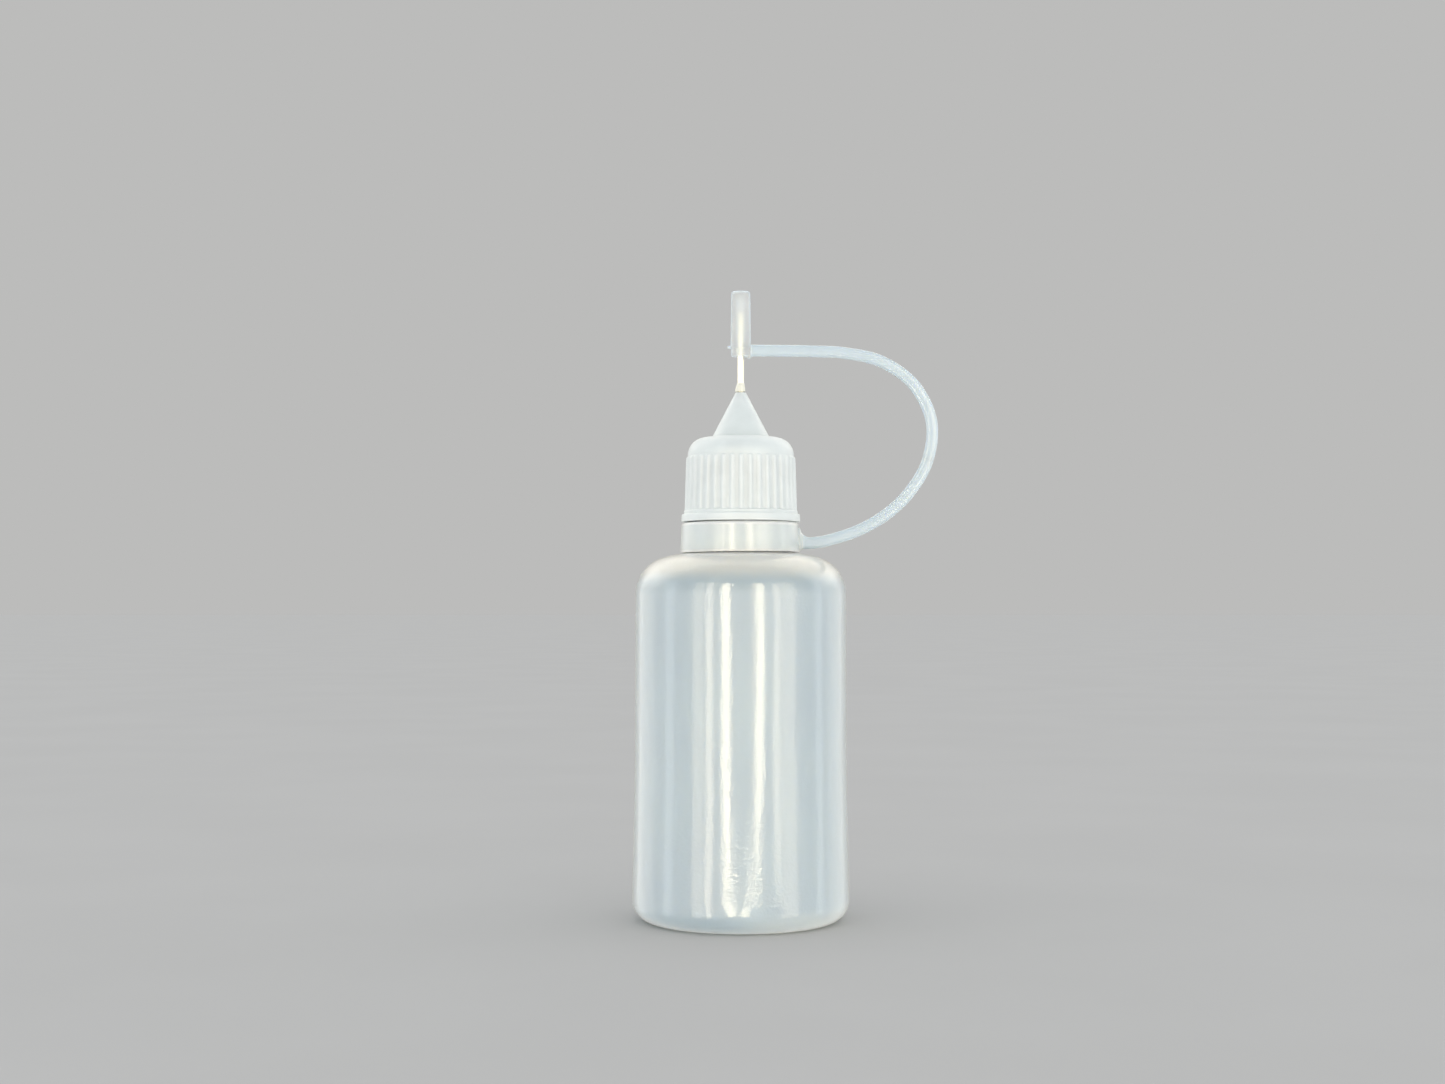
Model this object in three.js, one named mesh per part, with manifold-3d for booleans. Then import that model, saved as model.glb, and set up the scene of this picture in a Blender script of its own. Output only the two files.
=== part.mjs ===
// A 30 ml squeeze dropper bottle: a soft bottle, a screw-on nozzle cap with a blunt steel needle in its
// cone, and a tether, which is a loose ring round the neck, a strap, and the needle's cover.
// Millimetres, +Z up, the origin at the centre of the base, the strap on the +X side.
import * as THREE from "three";
import { mergeVertices } from "three/addons/utils/BufferGeometryUtils.js";
import Module from "manifold-3d";

// Bottle
const BODY_RADIUS = 16.14;
const BASE_RADIUS = 16.5; // the body flares a little towards its base
const BASE_CORNER = 3.1;
const FLARE_BOTTOM = 4.3;
const FLARE_MIDDLE = { radius: 16.33, height: 13.5 };
const FLARE_TOP = 27;
const WALL = 0.9;
const FLOOR = 1.1;
const SHOULDER_CORNER = 6;
const SHOULDER_CENTRE = BODY_RADIUS - SHOULDER_CORNER;
const SHOULDER_START = 49.4;
const SHOULDER_SLOPE = Math.atan(0.2);
const NECK_FOOT = 56.1;
const NECK_RADIUS = 6.95;
const NECK_STEP = 61.4; // above here the neck is thinner, to carry its thread
const NECK_THREAD_ROOT = 6.5;
const NECK_TOP = 71.4;
const NECK_TOP_CHAMFER = 0.35;
const NECK_BORE = 4.9;
const BORE_CHAMFER = 0.25;
const BORE_FLARE = 1.4; // radius on which the bore widens into the shoulder
const NECK_FOOT_CHAMFER = 0.3;

// Thread, right-handed: 12 turns an inch, one and a half turns on the neck and in the cap
const PITCH = 25.4 / 12;
const THREAD_TURNS = 1.5;
const THREAD_START = 64.6;
const THREAD_CREST = 7.3;
const CAP_THREAD_CREST = 6.95;
const RIDGE_ROOT = 0.5; // half widths of a ridge along the axis
const RIDGE_CREST = 0.2;
const RIDGE_SUNK = 0.2; // how far a ridge starts inside its wall
const RIDGE_FADE = 0.1; // turns over which a ridge runs out at each end
const RIDGE_END = 0.1; // share of its full reach that a ridge keeps at its very ends
const RIDGE_STEPS = 32; // per turn

// Nozzle cap
const LIP_BOTTOM = 60.6;
const LIP_TOP = 61.75;
const LIP_RADIUS = 9.1;
const LIP_CHAMFER = 0.15;
const BAND_RADIUS = 8.72;
const RIB_COUNT = 38;
const RIB_BOTTOM = 62.2;
const RIB_TOP = 70.5;
const RIB_CREST = 8.7;
const RIB_VALLEY = 8.28;
const RIB_TAPER = 0.975; // size at the top over size at the bottom
const RIB_FLANK = { foot: 0.2, crest: 0.35 }; // where a rib's sides start and end, as shares of its pitch
const DOME_RADIUS = 7.98;
const DOME_CORNER = 2.7;
const DOME_TOP = 73.48;
const CONE_FOOT = 4.45;
const CONE_TIP = 80.5;
const CONE_TIP_RADIUS = 0.76;
const SKIRT_BORE = 7.65;
const SKIRT_BORE_TOP = 69.3;
const CAP_CEILING = 71.7;
const LAND_RADIUS = 6.85;
const LAND_BOTTOM = 70.3;
const PLUG_RADIUS = 4.75;
const PLUG_BORE = 4;
const PLUG_BOTTOM = 69;
const PLUG_LEAD = { width: 0.25, height: 0.4 }; // the taper that leads the plug into the neck
const CONE_BORE = 3.2; // radius of the cone's hollow where the cone starts

// Needle and its bond
const NEEDLE_RADIUS = 0.49;
const NEEDLE_BORE = 0.3;
const NEEDLE_SEAT = 77;
const NEEDLE_TIP = 92.7;
const NEEDLE_EDGE = 0.06;
const NEEDLE_HOLE = 0.55;
const SEAT_LEDGE = 0.25;
const SEAT_GAP = 0.1;
const BOND_TOP = 81.9;
const BOND_FOOT = CONE_TIP + 0.06;
const BOND_SKIRT = 0.4;
const BOND_DRAFT = 0.06;

// Tether: ring, strap and needle cover
const RING_BOTTOM = 56; // at the ring's outer edge
const RING_TOP = 60.3;
const RING_UNDERCUT = 0.3; // how much higher its underside is at the bore, to follow the shoulder
const RING_RADIUS = 9.15;
const RING_TOP_RADIUS = 8.9;
const RING_CORNER = 0.9;
const RING_BORE = 7.15;
const STRAP_THICK = 1.8; // in the plane of the loop
const STRAP_WIDE = 1.5;
const STRAP_ROUND = 0.3;
const STRAP_GAP = 0.3;
const STRAP_FILLET = 1.1;
const FILLET_SUNK = 0.1; // how far the fillet's end dips into the ring
const STRAP_STEP = 1.6; // length of one straight piece of the strap's bend
const RING_STUB_END = 11;
const COVER_STUB_END = 3.3;
const COVER_BOTTOM = 86;
const COVER_TOP = 96;
const COVER_RADIUS = 1.55;
const COVER_TOP_RADIUS = 1.475;
const COVER_CORNER = 0.45;
const COVER_BORE = 0.62;
const COVER_BORE_TOP = 95;
const COVER_BORE_CHAMFER = 0.2;
const COLLAR_TOP = 87.3;
const COLLAR_STEP = 0.1;
const COLLAR_RADIUS = 1.47;
const GATE_RADIUS = 0.25;
const GATE_LENGTH = 0.5;
const STRAP_ROOT_HEIGHT = 57.4;
const STRAP_END_HEIGHT = 86.9;
const STRAP_SPLIT = 0.38; // where the lower stretch ends, as a share of the route

// The strap's centre line from the ring to the cover, as x and z
const STRAP_ROUTE = new THREE.CatmullRomCurve3(
  [
    [RING_STUB_END + STRAP_GAP, STRAP_ROOT_HEIGHT],
    [13.5, 57.8],
    [17.8, 59.2],
    [22.1, 61.6],
    [25.9, 65.2],
    [28.7, 70.2],
    [29.2, 76.2],
    [26.5, 81.7],
    [21.6, 85.2],
    [16.1, 86.5],
    [10.8, 86.8],
    [COVER_STUB_END + STRAP_GAP, STRAP_END_HEIGHT],
  ].map(([x, z]) => new THREE.Vector3(x, z, 0)),
);
const STRAP_LENGTH = STRAP_ROUTE.getLength();

const BODY_SIDES = 48;
const CAP_SIDES = 2 * RIB_COUNT;
const FINE_SIDES = 24;
const GATE_SIDES = 8;
const ARC_STEP = Math.PI / 12;
const MERGED = 1e-4; // points nearer to each other than this are one
const CUT_PAST = 1; // how far a cut runs past the face that it opens

const wasm = await Module();
wasm.setup();

// A closed geometry as a solid that can be joined and cut.
function solid(geometry) {
  const bare = geometry.clone();
  bare.deleteAttribute("normal");
  bare.deleteAttribute("uv");
  const merged = mergeVertices(bare, MERGED);
  const mesh = new wasm.Mesh({
    numProp: 3,
    vertProperties: merged.attributes.position.array,
    triVerts: Uint32Array.from(merged.index.array),
  });
  return new wasm.Manifold(mesh);
}

// The geometry of a solid.
function geometryOf(made) {
  const { vertProperties, triVerts } = made.getMesh();
  const geometry = new THREE.BufferGeometry();
  geometry.setAttribute("position", new THREE.BufferAttribute(vertProperties, 3));
  geometry.setIndex(new THREE.BufferAttribute(triVerts, 1));
  geometry.computeVertexNormals();
  return geometry;
}

// An outline of [radius, height] points turned about the Z axis.
function revolve(outline, sides) {
  const points = outline.map(([radius, height]) => new THREE.Vector2(radius, height));
  return new THREE.LatheGeometry(points, sides).rotateX(Math.PI / 2);
}

// A ring's outline closes on itself.
function revolveRing(outline, sides) {
  return revolve([...outline, outline[0]], sides);
}

// Points on a circle's arc, from one angle to another, in the plane of radius and height.
function arc(centreRadius, centreHeight, radius, from, to) {
  const steps = Math.ceil(Math.abs(to - from) / ARC_STEP);
  return Array.from({ length: steps + 1 }, (_, i) => {
    const angle = from + ((to - from) * i) / steps;
    return [centreRadius + radius * Math.cos(angle), centreHeight + radius * Math.sin(angle)];
  });
}

// A ridge that climbs one pitch a turn. inner and outer are the [radius, half width] of its two sides,
// and the one that is the crest fades into the wall at both ends.
function threadRidge(inner, outer, crestIsOuter, startHeight) {
  const steps = RIDGE_STEPS * THREAD_TURNS;
  const positions = [];
  const faces = [];
  for (let i = 0; i <= steps; i++) {
    const turn = (THREAD_TURNS * i) / steps;
    const fromEnd = Math.min(turn, THREAD_TURNS - turn);
    const reach = Math.min(1, RIDGE_END + fromEnd / RIDGE_FADE) * (outer[0] - inner[0]);
    const near = crestIsOuter ? inner[0] : outer[0] - reach;
    const far = crestIsOuter ? inner[0] + reach : outer[0];
    const height = startHeight + PITCH * turn;
    const section = [
      [near, height - inner[1]],
      [far, height - outer[1]],
      [far, height + outer[1]],
      [near, height + inner[1]],
    ];
    const angle = 2 * Math.PI * turn;
    for (const [radius, z] of section) {
      positions.push(radius * Math.cos(angle), radius * Math.sin(angle), z);
    }
    if (i === steps) break;
    for (let corner = 0; corner < 4; corner++) {
      const a = 4 * i + corner;
      const b = 4 * i + ((corner + 1) % 4);
      faces.push(a, b + 4, b, a, a + 4, b + 4);
    }
  }
  const last = 4 * steps;
  faces.push(0, 1, 2, 0, 2, 3);
  faces.push(last, last + 2, last + 1, last, last + 3, last + 2);
  const geometry = new THREE.BufferGeometry();
  geometry.setAttribute("position", new THREE.Float32BufferAttribute(positions, 3));
  geometry.setIndex(faces);
  return geometry;
}

// A flat outline in X and Z, as wide as the strap along Y and with rounded edges.
function strapPiece(outline) {
  const geometry = new THREE.ExtrudeGeometry(outline, {
    depth: STRAP_WIDE - 2 * STRAP_ROUND,
    steps: 1,
    bevelThickness: STRAP_ROUND,
    bevelSize: STRAP_ROUND,
    bevelOffset: -STRAP_ROUND,
    bevelSegments: 2,
  });
  geometry.translate(0, 0, STRAP_ROUND - STRAP_WIDE / 2);
  return geometry.rotateX(Math.PI / 2);
}

function bottleShell() {
  const slopeFrom = Math.PI / 2 - SHOULDER_SLOPE;
  const outside = [
    [0, 0],
    ...arc(BASE_RADIUS - BASE_CORNER, BASE_CORNER, BASE_CORNER, -Math.PI / 2, 0),
    [BASE_RADIUS, FLARE_BOTTOM],
    [FLARE_MIDDLE.radius, FLARE_MIDDLE.height],
    [BODY_RADIUS, FLARE_TOP],
    ...arc(SHOULDER_CENTRE, SHOULDER_START, SHOULDER_CORNER, 0, slopeFrom),
    [NECK_RADIUS + NECK_FOOT_CHAMFER, NECK_FOOT - NECK_FOOT_CHAMFER * Math.tan(SHOULDER_SLOPE)],
    [NECK_RADIUS, NECK_FOOT + NECK_FOOT_CHAMFER],
    [NECK_RADIUS, NECK_STEP],
    [NECK_THREAD_ROOT, NECK_STEP + NECK_RADIUS - NECK_THREAD_ROOT],
    [NECK_THREAD_ROOT, NECK_TOP - NECK_TOP_CHAMFER],
    [NECK_THREAD_ROOT - NECK_TOP_CHAMFER, NECK_TOP],
  ];
  // The flare's arc touches the bore and the sloping underside of the shoulder.
  const flareCentre = NECK_BORE + BORE_FLARE;
  const flareDrop = (SHOULDER_CENTRE - flareCentre) * Math.sin(SHOULDER_SLOPE);
  const flareHeight =
    SHOULDER_START + (SHOULDER_CORNER - WALL + BORE_FLARE + flareDrop) / Math.cos(SHOULDER_SLOPE);
  const inside = [
    [NECK_BORE + BORE_CHAMFER, NECK_TOP],
    [NECK_BORE, NECK_TOP - BORE_CHAMFER],
    ...arc(flareCentre, flareHeight, BORE_FLARE, Math.PI, Math.PI + slopeFrom),
    ...arc(SHOULDER_CENTRE, SHOULDER_START, SHOULDER_CORNER - WALL, slopeFrom, 0),
    [BODY_RADIUS - WALL, FLARE_TOP],
    [FLARE_MIDDLE.radius - WALL, FLARE_MIDDLE.height],
    ...arc(BASE_RADIUS - BASE_CORNER, BASE_CORNER, BASE_CORNER - FLOOR, 0, -Math.PI / 2),
    [0, FLOOR],
  ];
  const shell = solid(revolve([...outside, ...inside], BODY_SIDES));
  const root = [NECK_THREAD_ROOT - RIDGE_SUNK, RIDGE_ROOT];
  const ridge = solid(threadRidge(root, [THREAD_CREST, RIDGE_CREST], true, THREAD_START));
  return geometryOf(shell.add(ridge));
}

// The band of grip ribs: a toothed outline drawn up the axis and tapered.
function ribbedBand() {
  const outline = new THREE.Shape();
  const pitch = (2 * Math.PI) / RIB_COUNT;
  const { foot, crest } = RIB_FLANK;
  const tooth = [
    [foot, RIB_VALLEY],
    [crest, RIB_CREST],
    [1 - crest, RIB_CREST],
    [1 - foot, RIB_VALLEY],
  ];
  for (let rib = 0; rib < RIB_COUNT; rib++) {
    for (const [share, radius] of tooth) {
      const angle = pitch * (rib + share);
      const point = [radius * Math.cos(angle), radius * Math.sin(angle)];
      if (rib === 0 && share === foot) outline.moveTo(...point);
      else outline.lineTo(...point);
    }
  }
  const depth = RIB_TOP - RIB_BOTTOM;
  const geometry = new THREE.ExtrudeGeometry(outline, { depth, bevelEnabled: false });
  const position = geometry.getAttribute("position");
  for (let i = 0; i < position.count; i++) {
    const z = position.getZ(i);
    const scale = 1 + ((RIB_TAPER - 1) * z) / depth;
    position.setXYZ(i, position.getX(i) * scale, position.getY(i) * scale, z + RIB_BOTTOM);
  }
  return geometry;
}

function nozzleCap() {
  const domeCentre = [DOME_RADIUS - DOME_CORNER, DOME_TOP - DOME_CORNER];
  const core = [
    [0, LIP_BOTTOM],
    [LIP_RADIUS, LIP_BOTTOM],
    [LIP_RADIUS, LIP_TOP - LIP_CHAMFER],
    [LIP_RADIUS - LIP_CHAMFER, LIP_TOP],
    [BAND_RADIUS, LIP_TOP],
    [BAND_RADIUS, RIB_BOTTOM],
    [DOME_RADIUS, RIB_BOTTOM],
    ...arc(...domeCentre, DOME_CORNER, 0, Math.PI / 2),
    [CONE_FOOT, DOME_TOP],
    [CONE_TIP_RADIUS, CONE_TIP],
    [0, CONE_TIP],
  ];
  const cavity = [
    [0, LIP_BOTTOM - CUT_PAST],
    [SKIRT_BORE, LIP_BOTTOM - CUT_PAST],
    [SKIRT_BORE, SKIRT_BORE_TOP],
    [LAND_RADIUS, LAND_BOTTOM],
    [LAND_RADIUS, CAP_CEILING],
    [PLUG_RADIUS, CAP_CEILING],
    [PLUG_RADIUS, PLUG_BOTTOM + PLUG_LEAD.height],
    [PLUG_RADIUS - PLUG_LEAD.width, PLUG_BOTTOM],
    [PLUG_BORE, PLUG_BOTTOM],
    [PLUG_BORE, CAP_CEILING],
    [CONE_BORE, DOME_TOP],
    [NEEDLE_HOLE + SEAT_LEDGE, NEEDLE_SEAT - SEAT_GAP],
    [NEEDLE_HOLE, NEEDLE_SEAT - SEAT_GAP],
    [NEEDLE_HOLE, CONE_TIP + CUT_PAST],
    [0, CONE_TIP + CUT_PAST],
  ];
  const root = [SKIRT_BORE + RIDGE_SUNK, RIDGE_ROOT];
  const crest = [CAP_THREAD_CREST, RIDGE_CREST];
  const ridge = solid(threadRidge(crest, root, false, THREAD_START - PITCH / 2));
  const body = solid(revolve(core, CAP_SIDES)).add(solid(ribbedBand()));
  return geometryOf(body.subtract(solid(revolve(cavity, CAP_SIDES))).add(ridge));
}

function needleTube() {
  return revolveRing(
    [
      [NEEDLE_BORE, NEEDLE_SEAT],
      [NEEDLE_RADIUS, NEEDLE_SEAT],
      [NEEDLE_RADIUS, NEEDLE_TIP - NEEDLE_EDGE],
      [NEEDLE_RADIUS - NEEDLE_EDGE, NEEDLE_TIP],
      [NEEDLE_BORE, NEEDLE_TIP],
    ],
    FINE_SIDES,
  );
}

function needleBond() {
  return revolveRing(
    [
      [NEEDLE_HOLE, BOND_FOOT],
      [CONE_TIP_RADIUS, BOND_FOOT],
      [CONE_TIP_RADIUS - BOND_DRAFT, BOND_FOOT + BOND_SKIRT],
      [NEEDLE_HOLE + BOND_DRAFT, BOND_TOP],
      [NEEDLE_HOLE, BOND_TOP],
    ],
    FINE_SIDES,
  );
}

// The ring, with the root of the strap growing out of its +X side under a fillet.
function tetherRing() {
  const ring = revolveRing(
    [
      [RING_BORE, RING_BOTTOM + RING_UNDERCUT],
      [RING_RADIUS, RING_BOTTOM],
      ...arc(RING_TOP_RADIUS - RING_CORNER, RING_TOP - RING_CORNER, RING_CORNER, 0, Math.PI / 2),
      [RING_BORE, RING_TOP],
    ],
    BODY_SIDES,
  );
  const inner = (RING_BORE + RING_RADIUS) / 2;
  const half = STRAP_THICK / 2;
  const stub = new THREE.Shape();
  stub.moveTo(inner, STRAP_ROOT_HEIGHT - half);
  stub.lineTo(RING_STUB_END, STRAP_ROOT_HEIGHT - half);
  stub.lineTo(RING_STUB_END, STRAP_ROOT_HEIGHT + half);
  stub.lineTo(RING_RADIUS + STRAP_FILLET, STRAP_ROOT_HEIGHT + half);
  stub.quadraticCurveTo(
    RING_RADIUS,
    STRAP_ROOT_HEIGHT + half,
    RING_RADIUS - FILLET_SUNK,
    STRAP_ROOT_HEIGHT + half + STRAP_FILLET,
  );
  stub.lineTo(inner, STRAP_ROOT_HEIGHT + half + STRAP_FILLET);
  return geometryOf(solid(ring).add(solid(strapPiece(stub))));
}

// One stretch of the strap, between two shares of its route.
function strapStretch(from, to) {
  const steps = Math.ceil(((to - from) * STRAP_LENGTH) / STRAP_STEP);
  const edge = (side, share) => {
    const point = STRAP_ROUTE.getPointAt(share);
    const along = STRAP_ROUTE.getTangentAt(share);
    const off = (side * STRAP_THICK) / 2;
    return new THREE.Vector2(point.x - off * along.y, point.y + off * along.x);
  };
  const shares = Array.from({ length: steps + 1 }, (_, i) => from + ((to - from) * i) / steps);
  const outline = [
    ...shares.map((share) => edge(-1, share)),
    ...shares.reverse().map((share) => edge(1, share)),
  ];
  return strapPiece(new THREE.Shape(outline));
}

// The cover: a thin blind tube, with the end of the strap and a gate mark on either side of its collar.
function needleCover() {
  const tube = revolve(
    [
      [0, COVER_BORE_TOP],
      [COVER_BORE - COVER_BORE_CHAMFER, COVER_BORE_TOP],
      [COVER_BORE, COVER_BORE_TOP - COVER_BORE_CHAMFER],
      [COVER_BORE, COVER_BOTTOM + COVER_BORE_CHAMFER],
      [COVER_BORE + COVER_BORE_CHAMFER, COVER_BOTTOM],
      [COLLAR_RADIUS, COVER_BOTTOM],
      [COLLAR_RADIUS, COLLAR_TOP - COLLAR_STEP],
      [COVER_RADIUS, COLLAR_TOP],
      ...arc(COVER_TOP_RADIUS - COVER_CORNER, COVER_TOP - COVER_CORNER, COVER_CORNER, 0, Math.PI / 2),
      [0, COVER_TOP],
    ],
    FINE_SIDES,
  );
  const inner = (COVER_BORE + COLLAR_RADIUS) / 2;
  const half = STRAP_THICK / 2;
  const stub = new THREE.Shape();
  stub.moveTo(inner, STRAP_END_HEIGHT - half);
  stub.lineTo(COVER_STUB_END, STRAP_END_HEIGHT - half);
  stub.lineTo(COVER_STUB_END, STRAP_END_HEIGHT + half);
  stub.lineTo(inner, STRAP_END_HEIGHT + half);
  const gate = new THREE.CylinderGeometry(GATE_RADIUS, GATE_RADIUS, GATE_LENGTH, GATE_SIDES)
    .rotateZ(Math.PI / 2)
    .translate(-COVER_RADIUS, 0, COLLAR_TOP);
  return geometryOf(solid(tube).add(solid(strapPiece(stub))).add(solid(gate)));
}

const steel = { color: 0xfcfcec, roughness: 0.25, metalness: 1 };
const soft = { color: 0xdbe6eb, roughness: 0.45, metalness: 0, transparent: true, opacity: 0.85 };
const milky = { color: 0xc9d3d3, roughness: 0.4, metalness: 0, transparent: true, opacity: 0.6 };
const white = { color: 0xe8eee9, roughness: 0.5, metalness: 0 };
const clear = { color: 0xe6e8e0, roughness: 0.2, metalness: 0, transparent: true, opacity: 0.5 };

const bottle = new THREE.Group();
function add(name, geometry, look) {
  const mesh = new THREE.Mesh(geometry, new THREE.MeshStandardMaterial(look));
  mesh.name = name;
  bottle.add(mesh);
}

const halfGap = STRAP_GAP / 2 / STRAP_LENGTH;
add("bottle_shell", bottleShell(), milky);
add("nozzle_cap", nozzleCap(), white);
add("needle_tube", needleTube(), steel);
add("needle_bond", needleBond(), clear);
add("tether_ring", tetherRing(), soft);
add("tether_strap_lower", strapStretch(0, STRAP_SPLIT - halfGap), soft);
add("tether_strap_upper", strapStretch(STRAP_SPLIT + halfGap, 1), soft);
add("needle_cover", needleCover(), soft);

export default bottle;
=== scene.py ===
"""The looks of the squeeze dropper bottle: milky soft bottle, ribbed nozzle cap, steel needle and tether.

Sizes are in millimetres and are turned into metres where a mesh, a light or a pattern is made. The sizes
that the CAD nodes' boxes give are taken from them.
"""

import math

import bpy
from mathutils import Matrix, Vector, noise

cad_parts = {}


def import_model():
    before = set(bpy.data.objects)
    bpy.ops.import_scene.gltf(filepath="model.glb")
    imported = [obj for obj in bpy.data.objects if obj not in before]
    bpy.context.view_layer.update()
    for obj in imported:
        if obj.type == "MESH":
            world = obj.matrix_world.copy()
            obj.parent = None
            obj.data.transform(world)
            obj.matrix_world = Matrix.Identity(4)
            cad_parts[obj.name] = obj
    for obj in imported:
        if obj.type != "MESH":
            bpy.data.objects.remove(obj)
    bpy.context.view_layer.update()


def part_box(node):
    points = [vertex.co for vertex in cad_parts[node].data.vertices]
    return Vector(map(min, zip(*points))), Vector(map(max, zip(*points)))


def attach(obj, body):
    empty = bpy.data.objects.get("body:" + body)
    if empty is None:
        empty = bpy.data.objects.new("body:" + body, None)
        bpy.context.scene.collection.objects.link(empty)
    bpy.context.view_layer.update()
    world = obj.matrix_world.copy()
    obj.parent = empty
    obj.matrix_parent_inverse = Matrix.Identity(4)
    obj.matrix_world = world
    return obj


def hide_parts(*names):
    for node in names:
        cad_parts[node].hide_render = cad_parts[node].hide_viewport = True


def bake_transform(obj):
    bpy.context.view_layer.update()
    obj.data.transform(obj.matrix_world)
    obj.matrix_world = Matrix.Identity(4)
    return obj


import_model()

MM = 0.001


# ---------------------------------------------------------------- sizes, in millimetres


def limits(node):
    """A CAD node's lowest and highest corners, in millimetres."""
    low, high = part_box(node)
    return low / MM, high / MM


SHELL_HIGH = limits("bottle_shell")[1]
CAP_LOW, CAP_HIGH = limits("nozzle_cap")
NEEDLE_LOW, NEEDLE_HIGH = limits("needle_tube")
BOND_LOW, BOND_HIGH = limits("needle_bond")
RING_LOW, RING_HIGH = limits("tether_ring")
COVER_LOW, COVER_HIGH = limits("needle_cover")
SPLIT_HEIGHT = (limits("tether_strap_lower")[1].z + limits("tether_strap_upper")[0].z) / 2

# Bottle
BASE_RADIUS = SHELL_HIGH.x
BODY_RADIUS = BASE_RADIUS - 0.36  # the body flares a little towards its base
BASE_CORNER = 3.1
FLARE_BOTTOM = 4.3
FLARE_MIDDLE = 13.5
FLARE_MIDDLE_RADIUS = BASE_RADIUS - 0.17
FLARE_TOP = 27
PUSH_UP = 0.4  # how far the middle of the base stands off the table
PUSH_UP_RADIUS = 10.4
FOOT_RADIUS = 12.0  # inside this radius the base rises from the table
SHOULDER_CORNER = 6.0
SHOULDER_EDGE = 54.33  # height where the side and the sloping shoulder would meet
SHOULDER_SLOPE = 0.2
WALL = 0.9
FLOOR_WALL = 1.1
NECK_FOOT = 56.1
NECK_RADIUS = 6.95
NECK_STEP = 61.4  # above here the neck is thinner, to carry its thread
NECK_STEP_HEIGHT = 0.45
NECK_ROOT = 6.5
NECK_TOP = SHELL_HIGH.z
NECK_BORE = 4.9
BORE_FOOT = NECK_FOOT - 0.4
BODY_SIDES = 192

# Unevenness of the bottle's wall
WAVE = 0.035
WAVES_ROUND = 1.7  # the body's radius, counted in waves
WAVE_STRETCH = 22  # a height that counts for as much as the radius
CALM_RADIUS = 10.0  # inside this radius the waves fade towards the axis
PARTING = 0.03  # height of the mould's parting line
PARTING_WIDTH = 0.16  # half its width

# Thread, right-handed
PITCH = 25.4 / 12
THREAD_TURNS = 1.5
THREAD_START = 64.6
THREAD_DEPTH = 0.8
CAP_THREAD_DEPTH = 0.7
RIDGE_ROOT = 0.5  # half a ridge's width along the axis
RIDGE_FLANK = 0.3
RIDGE_FADE = 0.08  # turns over which a ridge runs out at each end

# Nozzle cap
LIP_RADIUS = CAP_HIGH.x
LIP_TOP = 61.75
BAND_RADIUS = 8.72
RIBS = 38
SIDES_PER_RIB = 12
RIB_BOTTOM = 62.2
RIB_TOP = 70.5
RIB_DEPTH = 0.2
RIB_FOOT = 0.66  # a rib's width at its foot, as a share of its pitch
RIB_FLANK = 0.5  # share of its pitch that its two sides take
RIB_END = 0.45  # height over which it rounds off at its top
VALLEY_BOTTOM = 8.41  # radii between the ribs
VALLEY_TOP = 8.17
DOME_RADIUS = 7.98
DOME_CORNER = 2.7
DOME_TOP = 73.48
CONE_FOOT = 4.45
CONE_TIP = CAP_HIGH.z
CONE_TIP_RADIUS = 0.76
GHOST_BOTTOM = 78.6  # above here the cone is thin enough to see through
SKIRT_BORE = 7.65
SKIRT_BORE_TOP = 69.4
LAND_RADIUS = 6.85
LAND_BOTTOM = 70.4
CEILING = 71.7
PLUG_RADIUS = 4.75
PLUG_BORE = 4.0
PLUG_BOTTOM = 69.0
PLUG_LEAD = 0.3  # width and height of the taper that leads the plug into the neck
CONE_BORE = 3.2

# Needle and its bead
NEEDLE_HOLE = 0.52
NEEDLE_RADIUS = NEEDLE_HIGH.x
NEEDLE_BORE = 0.3
NEEDLE_SIDES = 64
SEAT_LEDGE = 0.3
SEAT_GAP = 0.1
BEAD_SWELL = 0.16  # how much further the bead creeps out on one side
BEAD_SIDE = 2.9  # that side's azimuth, in radians
BEAD_FOOT_HEIGHT = 0.5
BEAD_SIDES = 48

# Tether: ring, strap and needle cover
RING_BORE = 7.15
RING_RADIUS = -RING_LOW.x
RING_TOP_RADIUS = 8.92
RING_UNDERCUT = 0.45  # the ring's underside follows the slope of the shoulder
RING_RISE = 0.16  # how much nearer the ring's top is to the cap's lip than its CAD node's
RING_DROP = 0.15  # and its underside to the shoulder
RING_ASIDE = -0.12  # how far the loose ring is off the neck's axis
RING_LEAN = {"X": -0.25, "Y": -0.4}  # its lean about each axis, in degrees
RING_SIDES = 192
RING_SKIN = 0.4  # how far out along the strap the ring's own material goes
STRAP_THICK = 1.8
STRAP_WIDE = 1.5
STRAP_SIDES = 32
STRAP_SQUARENESS = 3.4  # 2 would be an ellipse
RING_FILLETS = (1.5, 0.35, 0.5)  # the strap's upper, lower and side fillets on the ring
COVER_FILLETS = (0.35, 0.1, 0.1)  # and on the cover
COVER_BORE = 0.62
COVER_BORE_TOP = 95.0
COVER_RADIUS = COVER_HIGH.y
COVER_TOP_RADIUS = 1.475
COVER_SIDES = 96
COLLAR_TOP = 87.3
COLLAR_STEP = 0.1
COLLAR_RADIUS = 1.47
GATE_RADIUS = 0.26
GATE_PIN = 0.02  # radius of the gate mark's centre hole
GATE_LENGTH = 0.5
GATE_SUNK = 0.45  # how deep the gate mark starts inside the cover's wall
GATE_SIDES = 20

# The strap's centre line from inside the ring's wall to inside the cover's, as x and z.
STRAP_ROUTE = [
    (8.2, 57.3),
    (9.6, 57.32),
    (11.3, 57.4),
    (13.5, 57.8),
    (17.8, 59.2),
    (22.1, 61.6),
    (25.9, 65.2),
    (28.7, 70.2),
    (29.2, 76.2),
    (26.5, 81.7),
    (21.6, 85.2),
    (16.1, 86.5),
    (10.8, 86.8),
    (3.6, 86.9),
    (1.05, 86.9),
]


# ---------------------------------------------------------------- outlines

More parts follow.
